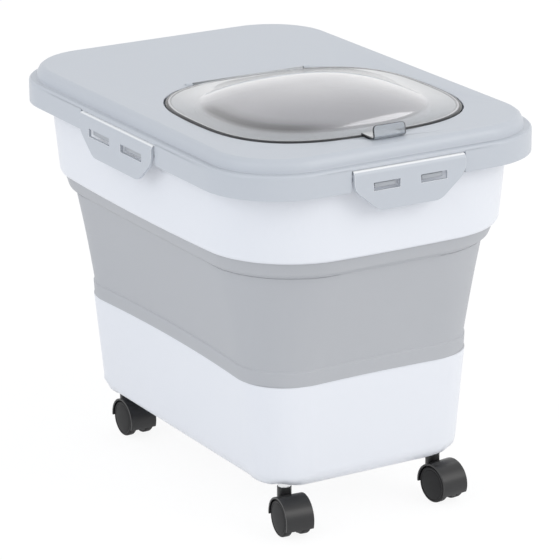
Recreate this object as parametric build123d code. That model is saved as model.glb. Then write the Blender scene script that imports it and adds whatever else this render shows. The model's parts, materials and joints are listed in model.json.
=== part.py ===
from build123d import *
from math import cos, pi, radians, sin
import os

# A wheeled food bin that folds down: a tub on four casters, a soft wall that turns inside out,
# an upper ring, and a latched lid with a clear hatch. Millimetres, +Z up, the front faces -Y,
# and the origin is on the floor under the middle of the bin.

# Driving sizes
WIDTH = 280.0
LENGTH = 398.0
TUB_BASE = 37.0
TUB_HEIGHT = 87.2
SOFT_LIP = 11.5
SOFT_PANEL = 81.8
SOFT_STEP = 13.9
MID_SHARE = 0.45
RING_HEIGHT = 76.3
SKIRT_OVERLAP = 20.0
WHEEL_DIAMETER = 29.5

# Wall thicknesses and clearances
WALL = 2.5
SOFT_WALL = 2.2
COVER_WALL = 2.0
BOND_GAP = 0.05
RUN_GAP = 0.05
MOVE_GAP = 0.4
LATCH_SIDE_GAP = 1.2
HATCH_EDGE_GAP = 1.2

# Heights of the seams, from the floor up
SEAM_Z = TUB_BASE + TUB_HEIGHT
FOLD_Z = SEAM_Z + SOFT_LIP
MID_Z = FOLD_Z + MID_SHARE * SOFT_PANEL
STEP_Z = FOLD_Z + SOFT_PANEL
RING_Z = STEP_Z + SOFT_STEP
RIM_Z = RING_Z + RING_HEIGHT
SKIRT_Z = RIM_Z - SKIRT_OVERLAP
LID_RISE = 9.0
LID_Z = RIM_Z + LID_RISE

# Lid profile from the skirt up: straight face, rounded shoulder, groove and rounded crown
SKIRT_FACE = 14.2
SHOULDER = 4.8
GROOVE_INSET = 6.0
GROOVE_SINK = 0.5
CROWN_STEP = 1.5
CROWN_BATTER = 0.4
CROWN_ROUND = 5.5

# Steps in of the walls on the way down, seen from the side
RING_INSET = 11.0
RING_BATTER = 0.9
STEP_INSET = 11.9
PANEL_BATTER = 20.4
PANEL_HOLLOW = 2.7
LIP_BATTER = 0.8
LIP_PROUD = 0.8
TUB_BATTER = 3.7

# Half widths along X, corner radii and bows of the outer walls at those seams. The bow is how far
# the middle of a long side stands out past the ends of the side.
SIDE_EXTRA = (LENGTH - WIDTH) / 2
LID_HALF = WIDTH / 2
LID_CORNER = 62.0
RING_TOP_HALF = LID_HALF - RING_INSET
RING_TOP_CORNER = 68.0
RING_FOOT_HALF = RING_TOP_HALF - RING_BATTER
RING_FOOT_CORNER = 75.0
RING_FOOT_BOW = 7.0
RIM_BEAD = 1.2
RIM_BEAD_HEIGHT = 4.0
STEP_HALF = RING_FOOT_HALF - STEP_INSET
STEP_CORNER = 63.0
STEP_HOLLOW = 1.4
STEP_LEDGE = 0.9
FOLD_HALF = STEP_HALF - PANEL_BATTER
FOLD_CORNER = 42.8
FOLD_LEDGE = 0.9
WAIST_BOW = -8.5
MID_HALF = FOLD_HALF + MID_SHARE * PANEL_BATTER - PANEL_HOLLOW
MID_CORNER = 47.0
MID_BOW = WAIST_BOW / 2
SEAM_HALF = FOLD_HALF - LIP_BATTER
SEAM_CORNER = FOLD_CORNER - LIP_BATTER
TUB_HALF = SEAM_HALF - LIP_PROUD
TUB_CORNER = SEAM_CORNER - LIP_PROUD
TUB_FOOT_HALF = TUB_HALF - TUB_BATTER
TUB_FOOT_CORNER = 42.0
TUB_FOOT_ROUND = 14.0

# Latches and their lugs: width of the plate, width of its two slots, clear gap between the slots
END_LATCH = (98.0, 23.3, 18.2)
SIDE_LATCH = (118.0, 33.9, 18.5)
LATCH_DROP = 28.7
LATCH_SIDE_DROP = 10.5
LATCH_CUT = 22.0
LATCH_ROUND = 13.0
LATCH_WALL = 2.4
LATCH_BARREL = 4.0
LATCH_PROUD = 2.5
LATCH_RISE = 11.7
LATCH_AXIS_Z = SKIRT_Z + LATCH_RISE
LATCH_STUB = 1.0
LATCH_STUB_LENGTH = 4.0
LATCH_BOSS_HALF = 4.0
SLOT_HEIGHT = 6.4
SLOT_DROP = 9.8
LUG_HEIGHT = 4.2
LUG_SIDE_GAP = 2.6

# Clear hatch: outline, dome, hinge and thumb tab
HATCH_HALF_X = 106.8
HATCH_HALF_Y = 100.8
HATCH_POWER = 2.9
HATCH_Y = -61.0
HATCH_PROUD = 0.9
HATCH_PLATE = 2.2
HATCH_FLANGE = 2.0
HATCH_FLANGE_WALL = 1.6
DOME_HALF_X = 87.2
DOME_HALF_Y = 81.5
DOME_POWER = 2.45
DOME_Y = HATCH_Y
DOME_HEIGHT = 14.5
DOME_RINGS = (1.0, 0.9, 0.75, 0.55, 0.32, 0.12)
RECESS_DEPTH = 4.1
PAN_WALL = 2.4
MOUTH_INSET = 4.0
MOUTH_HALF_X = DOME_HALF_X - MOUTH_INSET
MOUTH_HALF_Y = DOME_HALF_Y - MOUTH_INSET
MOUTH_LIP = 2.0
MOUTH_DROP = 4.0
HINGE_LENGTH = 102.0
HINGE_INSET = 0.3
HINGE_SINK = 1.0
HINGE_Y = HATCH_Y + HATCH_HALF_Y - HINGE_INSET
HINGE_Z = LID_Z - HINGE_SINK
HINGE_BARREL = 2.2
HINGE_PIN = 1.2
HINGE_KNUCKLE = 5.6
TAB_X = 9.5
TAB_WIDTH = 27.0
TAB_REACH = 10.0
TAB_DEPTH = 12.0
TAB_RISE = 1.4
TAB_ROUND = 3.0
HATCH_SEAL_WIDTH = 3.2

# Lid seal, held between two ribs under the lid
SEAL_INSET = 0.5
SEAL_HALF = RING_TOP_HALF - SEAL_INSET
SEAL_CORNER = RING_TOP_CORNER - SEAL_INSET
SEAL_WIDTH = 4.0
SEAL_HEIGHT = 3.2
RIB_WALL = 1.8
RIB_DROP = 8.0

# Casters: place of the swivel axis, trail of the axle behind it, and sizes
CASTER_INSET_X = 22.0
CASTER_INSET_Y = 20.0
CASTER_X = TUB_FOOT_HALF - CASTER_INSET_X
CASTER_Y = TUB_FOOT_HALF + SIDE_EXTRA - CASTER_INSET_Y
CASTER_TRAIL = 12.5
WHEEL_RADIUS = WHEEL_DIAMETER / 2
WHEEL_WIDTH = 6.6
WHEEL_INNER = 4.6
WEB_HALF = 1.9
WEB_FOOT = 6.5
POST_RADIUS = WHEEL_INNER - MOVE_GAP
POST_FOOT = 18.0
HOOD_WIDTH = 23.4
HOOD_WALL = 1.5
HOOD_GAP = 0.8
HOOD_FRONT = -22.0
HOOD_BACK = 185.0
NECK_RADIUS = 5.7
NECK_DROP = 1.4
NECK_TOP = TUB_BASE - NECK_DROP
STEM_RADIUS = 3.0
STEM_DEPTH = 12.5
COLLAR_RADIUS = 5.0
SLEEVE_WALL = 1.2
SLEEVE_FLANGE = 5.2
SLEEVE_PROUD = 0.7
SLEEVE_SINK = 3.2
BOSS_RADIUS = 8.0
BOSS_HEIGHT = 16.0
AXLE_RADIUS = 1.6
AXLE_HALF = 9.6
WHEEL_EDGE = 1.6
SWIVEL_AT_REST = {"front_left": -5.5, "front_right": 6.5, "back_left": 0.5, "back_right": 10.0}
CASTER_SIDES = {
    "front_left": (-1, -1),
    "front_right": (1, -1),
    "back_left": (-1, 1),
    "back_right": (1, 1),
}


def section(half, corner, z, bow=0.0):
    """Level rounded rectangle, longer along Y. A bow swells its sides, a negative one waists them."""
    reach = half + SIDE_EXTRA
    if bow == 0:
        return Pos(0, 0, z) * RectangleRounded(2 * half, 2 * reach, corner)
    tip_x = half - bow
    tip_y = reach - bow * half / reach
    sides = [
        ThreePointArc((tip_x, -tip_y), (half, 0), (tip_x, tip_y)),
        ThreePointArc((tip_x, tip_y), (0, reach), (-tip_x, tip_y)),
        ThreePointArc((-tip_x, tip_y), (-half, 0), (-tip_x, -tip_y)),
        ThreePointArc((-tip_x, -tip_y), (0, -reach), (tip_x, -tip_y)),
    ]
    face = make_face(Curve() + sides)
    return Pos(0, 0, z) * fillet(face.vertices(), corner)


def stack(levels):
    """Solid with ruled walls through (half width, corner radius, height, bow) levels."""
    return loft([section(*level) for level in levels], ruled=True)


def round_foot(half, corner, z, radius, steps=4):
    """Levels of a rounded bottom edge, from the flat underside up to the wall."""
    levels = []
    for step in range(steps + 1):
        angle = radians(90 - 90 * step / steps)
        inward = radius * (1 - cos(angle))
        levels.append((half - inward, corner - inward, z + radius * (1 - sin(angle))))
    return levels


def superellipse(half_x, half_y, power, centre_y, z, count=32):
    """Level face squarer than an ellipse, through points of |x/a|^p + |y/b|^p = 1."""
    points = []
    for index in range(count):
        angle = 2 * pi * (index + 0.5) / count
        across = abs(cos(angle)) ** (2 / power)
        along = abs(sin(angle)) ** (2 / power)
        x = half_x * across * (1 if cos(angle) > 0 else -1)
        y = half_y * along * (1 if sin(angle) > 0 else -1)
        points.append((x, centre_y + y, z))
    return make_face(Spline(points, periodic=True))


def slab(half_x, half_y, power, centre_y, bottom, top):
    """Upright solid on a superellipse."""
    return extrude(superellipse(half_x, half_y, power, centre_y, bottom), top - bottom)


def block(x_range, y_range, z_range):
    """Box between two corners."""
    size = [high - low for low, high in (x_range, y_range, z_range)]
    centre = [(high + low) / 2 for low, high in (x_range, y_range, z_range)]
    return Pos(*centre) * Box(*size)


def rod(start, end, radius):
    """Round bar between two points."""
    way = Vector(*end) - Vector(*start)
    return extrude(Plane(origin=start, z_dir=way) * Circle(radius), way.length)


# The four sides of the bin: turn about Z, distance of the lid's face, and latch sizes
END_FACE = LENGTH / 2
SIDE_FACE = WIDTH / 2
SIDES = {
    "front": (0, END_FACE, END_LATCH),
    "right": (90, SIDE_FACE, SIDE_LATCH),
    "back": (180, END_FACE, END_LATCH),
    "left": (270, SIDE_FACE, SIDE_LATCH),
}
LATCH_AXIS_INSET = LATCH_BARREL - LATCH_PROUD


def lower_tub():
    """White tub with a rounded foot, a tongue for the soft wall and four caster bosses."""
    outer = round_foot(TUB_FOOT_HALF, TUB_FOOT_CORNER, TUB_BASE, TUB_FOOT_ROUND)
    outer.append((TUB_HALF, TUB_CORNER, SEAM_Z, WAIST_BOW))
    inner = round_foot(TUB_FOOT_HALF - WALL, TUB_FOOT_CORNER - WALL, TUB_BASE + WALL, TUB_FOOT_ROUND - WALL)
    inner.append((TUB_HALF - WALL, TUB_CORNER - WALL, SEAM_Z, WAIST_BOW))
    body = stack(outer)
    tongue_half = SEAM_HALF - SOFT_WALL - BOND_GAP
    tongue_corner = SEAM_CORNER - SOFT_WALL
    tongue_top = FOLD_Z - SOFT_WALL
    tongue = stack([(tongue_half, tongue_corner, z, WAIST_BOW) for z in (SEAM_Z, tongue_top)])
    bore_half = tongue_half - WALL
    bore_corner = tongue_corner - WALL
    inner.append((bore_half, bore_corner, SEAM_Z + WALL, WAIST_BOW))
    inner.append((bore_half, bore_corner, FOLD_Z, WAIST_BOW))
    shell = body + tongue - stack(inner)
    for side_x, side_y in CASTER_SIDES.values():
        place = Pos(side_x * CASTER_X, side_y * CASTER_Y, TUB_BASE)
        boss = place * extrude(Circle(BOSS_RADIUS), BOSS_HEIGHT) & body
        shell += boss
    for side_x, side_y in CASTER_SIDES.values():
        place = Pos(side_x * CASTER_X, side_y * CASTER_Y, TUB_BASE)
        shell -= place * extrude(Circle(STEM_RADIUS + RUN_GAP + SLEEVE_WALL), BOSS_HEIGHT - WALL)
        shell -= place * extrude(Circle(SLEEVE_FLANGE + RUN_GAP), SLEEVE_SINK + RUN_GAP)
    return shell


def soft_wall():
    """Soft band: a lip round the tub, the panel that turns inside out, and a step up to the ring."""
    collar_half = RING_FOOT_HALF - WALL - BOND_GAP
    collar_corner = RING_FOOT_CORNER - WALL
    neck_half = collar_half - 2 * FOLD_LEDGE
    hollow_half = STEP_HALF - STEP_HOLLOW
    hollow_corner = STEP_CORNER - STEP_HOLLOW
    bow = RING_FOOT_BOW
    outer = [
        (SEAM_HALF, SEAM_CORNER, SEAM_Z, WAIST_BOW),
        (FOLD_HALF, FOLD_CORNER, FOLD_Z, WAIST_BOW),
        (FOLD_HALF - FOLD_LEDGE, FOLD_CORNER - FOLD_LEDGE, FOLD_Z + FOLD_LEDGE, WAIST_BOW),
        (MID_HALF, MID_CORNER, MID_Z, MID_BOW),
        (hollow_half, hollow_corner, STEP_Z - STEP_LEDGE),
        (STEP_HALF, STEP_CORNER, STEP_Z),
        (neck_half, collar_corner, RING_Z - MOVE_GAP, bow),
        (collar_half, collar_corner, RING_Z + WALL, bow),
        (collar_half, collar_corner, RING_Z + 4 * WALL, bow),
    ]
    inner = [
        (SEAM_HALF - SOFT_WALL, SEAM_CORNER - SOFT_WALL, SEAM_Z, WAIST_BOW),
        (SEAM_HALF - SOFT_WALL, SEAM_CORNER - SOFT_WALL, FOLD_Z, WAIST_BOW),
        (MID_HALF - SOFT_WALL, MID_CORNER - SOFT_WALL, MID_Z, MID_BOW),
        (hollow_half - SOFT_WALL, hollow_corner - SOFT_WALL, STEP_Z),
        (STEP_HALF - SOFT_WALL, STEP_CORNER - SOFT_WALL, STEP_Z + SOFT_WALL),
        (neck_half - SOFT_WALL, collar_corner - SOFT_WALL, RING_Z + 1, bow),
        (collar_half - SOFT_WALL, collar_corner - SOFT_WALL, RING_Z + 2 * WALL, bow),
        (collar_half - SOFT_WALL, collar_corner - SOFT_WALL, RING_Z + 4 * WALL, bow),
    ]
    return stack(outer) - stack(inner)


def upper_ring():
    """White ring with a rounded foot, a thickened rim and two lugs for each latch."""
    foot = RING_FOOT_HALF
    bow = RING_FOOT_BOW
    edge = WALL / 2
    outer = [
        (foot - edge, RING_FOOT_CORNER - edge, RING_Z, bow),
        (foot - edge / 3, RING_FOOT_CORNER - edge / 3, RING_Z + edge, bow),
        (foot, RING_FOOT_CORNER, RING_Z + WALL, bow),
        (RING_TOP_HALF, RING_TOP_CORNER, RIM_Z - RIM_BEAD_HEIGHT - RIM_BEAD),
        (RING_TOP_HALF + RIM_BEAD, RING_TOP_CORNER + RIM_BEAD, RIM_Z - RIM_BEAD_HEIGHT),
        (RING_TOP_HALF + RIM_BEAD, RING_TOP_CORNER + RIM_BEAD, RIM_Z),
    ]
    inner = [
        (foot - WALL, RING_FOOT_CORNER - WALL, RING_Z, bow),
        (foot - WALL, RING_FOOT_CORNER - WALL, RING_Z + 4 * WALL, bow),
        (RING_TOP_HALF - WALL, RING_TOP_CORNER - WALL, RIM_Z),
    ]
    bore = stack(inner)
    ring = stack(outer) - bore
    for turn, face, (width, slot, gap) in SIDES.values():
        lug_reach = face + LATCH_PROUD - LATCH_WALL - MOVE_GAP
        wall_face = face - (LID_HALF - RING_TOP_HALF) - WALL
        lug_z = LATCH_AXIS_Z - SLOT_DROP
        for side in (-1, 1):
            centre = side * (gap + slot) / 2
            half = slot / 2 - LUG_SIDE_GAP
            bar = block(
                (centre - half, centre + half),
                (-lug_reach, -wall_face),
                (lug_z - LUG_HEIGHT / 2, lug_z + LUG_HEIGHT / 2),
            )
            nose = bar.edges().filter_by(Axis.X).group_by(Axis.Y)[0]
            ring += Rot(0, 0, turn) * fillet(nose, LUG_HEIGHT / 4)
    return ring - bore


def lid_levels(inset):
    """Levels of the lid's skin, moved inwards by the given wall: skirt, shoulder, groove, crown."""
    shoulder_half = LID_HALF - SHOULDER
    shoulder_z = SKIRT_Z + SKIRT_FACE
    levels = [(LID_HALF - inset, LID_CORNER - inset, SKIRT_Z)]
    for degrees in (0, 30, 60, 80):
        out = (SHOULDER - inset) * cos(radians(degrees))
        up = (SHOULDER - inset) * sin(radians(degrees))
        levels.append((shoulder_half + out, LID_CORNER - SHOULDER + out, shoulder_z + up))
    groove_half = LID_HALF - GROOVE_INSET
    groove_z = shoulder_z + SHOULDER - GROOVE_SINK
    levels.append((groove_half - inset, LID_CORNER - GROOVE_INSET - inset, groove_z - inset))
    crown_half = groove_half - CROWN_BATTER - CROWN_ROUND
    crown_z = groove_z + CROWN_STEP
    for degrees in (0, 25, 50, 75, 90):
        out = (CROWN_ROUND - inset) * cos(radians(degrees))
        up = (LID_Z - crown_z - inset) * sin(radians(degrees))
        levels.append((crown_half + out, LID_CORNER - LID_HALF + crown_half + out, crown_z + up))
    return levels


def latch_notch(width, face):
    """Square notch in the lid's skirt that one latch swings in."""
    half = width / 2 + LATCH_SIDE_GAP
    pocket = LATCH_BARREL + MOVE_GAP
    back = -(face - LATCH_AXIS_INSET) + pocket
    return block((-half, half), (-face - 1, back), (SKIRT_Z - 1, LATCH_AXIS_Z + pocket))


def lid_panel():
    """Lid with a stepped crown, four latch notches, hinge bosses, seal ribs and the hatch seat."""
    outer = stack(lid_levels(0))
    shell = outer - stack(lid_levels(WALL))
    rib_top = LID_Z - WALL / 2
    for out, drop in ((RIB_WALL + BOND_GAP, 0), (-SEAL_WIDTH - BOND_GAP, RIB_DROP)):
        half = SEAL_HALF + out
        corner = SEAL_CORNER + out
        bottom = RIM_Z + MOVE_GAP - drop
        rib = stack([(half, corner, bottom), (half, corner, rib_top)])
        bore = half - RIB_WALL
        bore_corner = corner - RIB_WALL
        rib -= stack([(bore, bore_corner, bottom), (bore, bore_corner, rib_top)])
        shell += rib & outer
    for turn, face, (width, slot, gap) in SIDES.values():
        axis_y = -(face - LATCH_AXIS_INSET)
        notch_half = width / 2 + LATCH_SIDE_GAP
        boss_end = notch_half + LATCH_STUB_LENGTH + 2
        for side in (-1, 1):
            ends = sorted((side * notch_half, side * boss_end))
            boss = block(
                ends,
                (-face + WALL / 4, axis_y + LATCH_BARREL + WALL),
                (LATCH_AXIS_Z - LATCH_BOSS_HALF, LATCH_AXIS_Z + LATCH_BOSS_HALF),
            )
            shell += Rot(0, 0, turn) * boss & outer
    for turn, face, (width, slot, gap) in SIDES.values():
        shell -= Rot(0, 0, turn) * latch_notch(width, face)
        axis_y = -(face - LATCH_AXIS_INSET)
        reach = width / 2 + LATCH_SIDE_GAP + LATCH_STUB_LENGTH
        bore = LATCH_STUB + RUN_GAP
        shell -= Rot(0, 0, turn) * rod((-reach, axis_y, LATCH_AXIS_Z), (reach, axis_y, LATCH_AXIS_Z), bore)
    return hatch_seat(shell)


def hatch_seat(shell):
    """Sunk seat, raised mouth, hinge trough, hinge knuckles and thumb notch, added to the lid."""
    seat_x = HATCH_HALF_X + HATCH_EDGE_GAP
    seat_y = HATCH_HALF_Y + HATCH_EDGE_GAP
    floor_z = LID_Z - RECESS_DEPTH
    pan_z = floor_z - PAN_WALL
    trough_half = HINGE_LENGTH / 2 + HINGE_KNUCKLE + MOVE_GAP
    trough_front = HINGE_Y - 2 * HINGE_BARREL
    trough_back = HINGE_Y + HINGE_BARREL + 2 * MOVE_GAP
    tab_front = HATCH_Y - HATCH_HALF_Y - TAB_REACH - HATCH_EDGE_GAP
    tab_half = TAB_WIDTH / 2 + HATCH_EDGE_GAP
    solid_z = (pan_z, LID_Z - WALL / 2)
    solids = slab(seat_x + PAN_WALL, seat_y + PAN_WALL, HATCH_POWER, HATCH_Y, *solid_z)
    solids += block(
        (-trough_half - PAN_WALL, trough_half + PAN_WALL),
        (trough_front, trough_back + PAN_WALL),
        solid_z,
    )
    solids += block(
        (TAB_X - tab_half - PAN_WALL, TAB_X + tab_half + PAN_WALL),
        (tab_front - PAN_WALL, tab_front + 2 * TAB_DEPTH),
        solid_z,
    )
    space = slab(seat_x, seat_y, HATCH_POWER, HATCH_Y, floor_z, LID_Z + 1)
    space += block((-trough_half, trough_half), (trough_front, trough_back), (floor_z, LID_Z + 1))
    tab_space = block(
        (TAB_X - tab_half, TAB_X + tab_half),
        (tab_front, tab_front + 2 * TAB_DEPTH),
        (floor_z, LID_Z + 1),
    )
    space += fillet(tab_space.edges().filter_by(Axis.Z), TAB_ROUND)
    lip_x = MOUTH_HALF_X + MOUTH_LIP
    lip_y = MOUTH_HALF_Y + MOUTH_LIP
    lip_top = LID_Z + HATCH_PROUD - HATCH_PLATE - MOVE_GAP
    lip_foot = pan_z - MOUTH_DROP
    lid = shell + solids - space
    lid += slab(lip_x, lip_y, DOME_POWER, DOME_Y, lip_foot, lip_top)
    lid -= slab(MOUTH_HALF_X, MOUTH_HALF_Y, DOME_POWER, DOME_Y, lip_foot, LID_Z + 1)
    for side in (-1, 1):
        inner_end = side * (HINGE_LENGTH / 2 + MOVE_GAP)
        outer_end = side * (HINGE_LENGTH / 2 + HINGE_KNUCKLE + MOVE_GAP)
        ends = sorted((inner_end, outer_end))
        knuckle = rod((ends[0], HINGE_Y, HINGE_Z), (ends[1], HINGE_Y, HINGE_Z), HINGE_BARREL)
        foot = block(ends, (HINGE_Y - HINGE_BARREL, HINGE_Y + HINGE_BARREL), (pan_z, HINGE_Z))
        lid += knuckle + foot
    pin_reach = HINGE_LENGTH / 2 + HINGE_KNUCKLE
    return lid - rod((-pin_reach, HINGE_Y, HINGE_Z), (pin_reach, HINGE_Y, HINGE_Z), HINGE_PIN + RUN_GAP)


def lid_seal():
    """Soft ring between the lid's two ribs, resting on the rim of the upper ring."""
    bottom = RIM_Z
    top = RIM_Z + SEAL_HEIGHT
    inner = SEAL_HALF - SEAL_WIDTH
    inner_corner = SEAL_CORNER - SEAL_WIDTH
    ring = stack([(SEAL_HALF, SEAL_CORNER, bottom), (SEAL_HALF, SEAL_CORNER, top)])
    return ring - stack([(inner, inner_corner, bottom), (inner, inner_corner, top)])


def dome(inset, base_z):
    """Low domed solid over the mouth, lofted through shrinking superellipses."""
    rings = []
    for share in DOME_RINGS:
        height = (DOME_HEIGHT - inset) * (1 - share ** 2) / (1 - DOME_RINGS[-1] ** 2)
        half_x = (DOME_HALF_X - inset) * share
        half_y = (DOME_HALF_Y - inset) * share
        rings.append(superellipse(half_x, half_y, DOME_POWER, DOME_Y, base_z + height))
    return loft(rings)


def hatch_cover():
    """Clear hatch: flat rim, turned-down edge, domed middle, hinge barrel and thumb tab."""
    top = LID_Z + HATCH_PROUD
    under = top - HATCH_PLATE
    cover = slab(HATCH_HALF_X, HATCH_HALF_Y, HATCH_POWER, HATCH_Y, under, top)
    foot = under - HATCH_FLANGE
    inner_x = HATCH_HALF_X - HATCH_FLANGE_WALL
    inner_y = HATCH_HALF_Y - HATCH_FLANGE_WALL
    edge = slab(HATCH_HALF_X, HATCH_HALF_Y, HATCH_POWER, HATCH_Y, foot, under)
    edge -= slab(inner_x, inner_y, HATCH_POWER, HATCH_Y, foot, under)
    hinge_half = HINGE_LENGTH / 2 + HINGE_KNUCKLE + 2 * MOVE_GAP
    edge -= block((-hinge_half, hinge_half), (HINGE_Y - TAB_DEPTH, HINGE_Y + TAB_DEPTH), (foot, under))
    cover += edge
    cover += dome(0, top)
    cover -= dome(COVER_WALL, top - COVER_WALL)
    cover -= slab(
        DOME_HALF_X - COVER_WALL,
        DOME_HALF_Y - COVER_WALL,
        DOME_POWER,
        DOME_Y,
        under - 1,
        top - COVER_WALL,
    )
    half = HINGE_LENGTH / 2
    cover += rod((-half, HINGE_Y, HINGE_Z), (half, HINGE_Y, HINGE_Z), HINGE_BARREL)
    cover -= rod((-half - 1, HINGE_Y, HINGE_Z), (half + 1, HINGE_Y, HINGE_Z), HINGE_PIN + RUN_GAP)
    tab_front = HATCH_Y - HATCH_HALF_Y - TAB_REACH
    tab = block(
        (TAB_X - TAB_WIDTH / 2, TAB_X + TAB_WIDTH / 2),
        (tab_front, tab_front + TAB_DEPTH),
        (under, top + TAB_RISE),
    )
    tab = fillet(tab.edges().filter_by(Axis.Z), TAB_ROUND)
    return cover + tab


def hatch_seal():
    """Soft ring on the seat, round the raised mouth and under the hatch."""
    inner_x = MOUTH_HALF_X + MOUTH_LIP + BOND_GAP
    inner_y = MOUTH_HALF_Y + MOUTH_LIP + BOND_GAP
    bottom = LID_Z - RECESS_DEPTH
    top = LID_Z + HATCH_PROUD - HATCH_PLATE - BOND_GAP
    outer_x = inner_x + HATCH_SEAL_WIDTH
    outer_y = inner_y + HATCH_SEAL_WIDTH
    ring = slab(outer_x, outer_y, DOME_POWER, DOME_Y, bottom, top)
    return ring - slab(inner_x, inner_y, DOME_POWER, DOME_Y, bottom, top)


def hatch_pin():
    """Hinge pin of the hatch, held at both ends by the lid's knuckles."""
    reach = HINGE_LENGTH / 2 + HINGE_KNUCKLE - MOVE_GAP
    return rod((-reach, HINGE_Y, HINGE_Z), (reach, HINGE_Y, HINGE_Z), HINGE_PIN)


def latch(width, slot, gap, face):
    """Latch on the front side: barrel with end stubs, plate with cut corners and two slots."""
    axis_y = -(face - LATCH_AXIS_INSET)
    plate_y = -(face + LATCH_PROUD)
    half = width / 2
    low_half = half - LATCH_CUT
    side_foot = LATCH_AXIS_Z - LATCH_SIDE_DROP
    foot = LATCH_AXIS_Z - LATCH_DROP
    outline = Polyline(
        (-half, LATCH_AXIS_Z),
        (-half, side_foot),
        (-low_half, foot),
        (low_half, foot),
        (half, side_foot),
        (half, LATCH_AXIS_Z),
        close=True,
    )
    sheet = make_face(outline)
    rows = sheet.vertices().group_by(Axis.Y)
    sheet = fillet(rows[0] + rows[1], LATCH_ROUND)
    front = Plane(origin=(0, plate_y, 0), x_dir=(1, 0, 0), z_dir=(0, -1, 0))
    plate = extrude(front * sheet, -LATCH_WALL)
    slot_z = LATCH_AXIS_Z - SLOT_DROP
    for side in (-1, 1):
        centre = side * (gap + slot) / 2
        plate -= block(
            (centre - slot / 2, centre + slot / 2),
            (plate_y - 1, plate_y + LATCH_WALL + 1),
            (slot_z - SLOT_HEIGHT / 2, slot_z + SLOT_HEIGHT / 2),
        )
    barrel = rod((-half, axis_y, LATCH_AXIS_Z), (half, axis_y, LATCH_AXIS_Z), LATCH_BARREL)
    stub_reach = half + LATCH_SIDE_GAP + LATCH_STUB_LENGTH - MOVE_GAP
    stub = rod((-stub_reach, axis_y, LATCH_AXIS_Z), (stub_reach, axis_y, LATCH_AXIS_Z), LATCH_STUB)
    return plate + barrel + stub


def caster_hood():
    """Hood on its swivel axis: a wide curved shell, a web between the wheels and a neck."""
    outer_radius = WHEEL_RADIUS + HOOD_GAP + HOOD_WALL
    inner_radius = outer_radius - HOOD_WALL
    end = Plane(origin=(HOOD_WIDTH / 2, -CASTER_TRAIL, WHEEL_RADIUS), x_dir=(0, -1, 0), z_dir=(-1, 0, 0))
    outer_arc = CenterArc((0, 0), outer_radius, HOOD_FRONT, HOOD_BACK - HOOD_FRONT)
    inner_arc = CenterArc((0, 0), inner_radius, HOOD_FRONT, HOOD_BACK - HOOD_FRONT)
    edges = [outer_arc, inner_arc, Line(outer_arc @ 0, inner_arc @ 0), Line(outer_arc @ 1, inner_arc @ 1)]
    shell = extrude(end * make_face(Curve() + edges), HOOD_WIDTH)
    web_start = end * Pos(0, 0, HOOD_WIDTH / 2 - WEB_HALF)
    web = extrude(web_start * Circle(outer_radius - HOOD_WALL / 2), 2 * WEB_HALF)
    web -= block((-WEB_HALF, WEB_HALF), (-LENGTH, LENGTH), (-outer_radius, WEB_FOOT))
    neck = Pos(0, 0, WHEEL_RADIUS) * extrude(Circle(NECK_RADIUS), NECK_TOP - WHEEL_RADIUS)
    neck -= extrude(end * Circle(inner_radius), HOOD_WIDTH)
    post = Pos(0, 0, POST_FOOT) * extrude(Circle(POST_RADIUS), NECK_TOP - POST_FOOT)
    hood = shell + web + neck + post
    hood -= Pos(0, 0, POST_FOOT + WALL) * extrude(Circle(STEM_RADIUS + RUN_GAP), NECK_TOP)
    return hood - extrude(end * Circle(AXLE_RADIUS + RUN_GAP), HOOD_WIDTH)


def caster_stem():
    """Plated stem with the collar that shows between the neck and the tub."""
    bottom = POST_FOOT + WALL + MOVE_GAP
    collar_top = TUB_BASE - SLEEVE_PROUD - RUN_GAP
    stem = Pos(0, 0, bottom) * extrude(Circle(STEM_RADIUS), TUB_BASE + STEM_DEPTH - bottom)
    return stem + Pos(0, 0, NECK_TOP) * extrude(Circle(COLLAR_RADIUS), collar_top - NECK_TOP)


def caster_axle():
    """Steel axle through the hood's web, on which both wheels turn."""
    start = (-AXLE_HALF, -CASTER_TRAIL, WHEEL_RADIUS)
    return rod(start, (AXLE_HALF, -CASTER_TRAIL, WHEEL_RADIUS), AXLE_RADIUS)


def caster_wheel(side):
    """One wheel, turned about the axle: rounded tread, dished outer face, blind hub."""
    inner = WHEEL_INNER
    outer = WHEEL_INNER + WHEEL_WIDTH
    bore = AXLE_RADIUS + RUN_GAP
    bore_end = AXLE_HALF + MOVE_GAP
    profile = Polyline(
        (bore, inner),
        (WHEEL_RADIUS - WHEEL_EDGE / 2, inner),
        (WHEEL_RADIUS, inner + WHEEL_EDGE / 2),
        (WHEEL_RADIUS, outer - WHEEL_EDGE),
        (WHEEL_RADIUS - WHEEL_EDGE, outer - WHEEL_EDGE / 4),
        (WHEEL_RADIUS / 2, outer),
        (0, outer),
        (0, bore_end),
        (bore, bore_end),
        close=True,
    )
    turned = revolve(Plane.XZ * make_face(profile), Axis.Z)
    return Pos(0, -CASTER_TRAIL, WHEEL_RADIUS) * Rot(0, 90 * side, 0) * turned


def caster_sleeve():
    """Grip sleeve pressed into the tub's boss, with a flange let into the rounded foot."""
    bore = STEM_RADIUS + RUN_GAP
    foot = Pos(0, 0, TUB_BASE - SLEEVE_PROUD)
    body = foot * extrude(Circle(bore + SLEEVE_WALL - RUN_GAP), SLEEVE_PROUD + STEM_DEPTH)
    flange = foot * extrude(Circle(SLEEVE_FLANGE), SLEEVE_PROUD + SLEEVE_SINK)
    hole = foot * extrude(Circle(bore), 2 * STEM_DEPTH)
    return body + flange - hole


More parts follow.
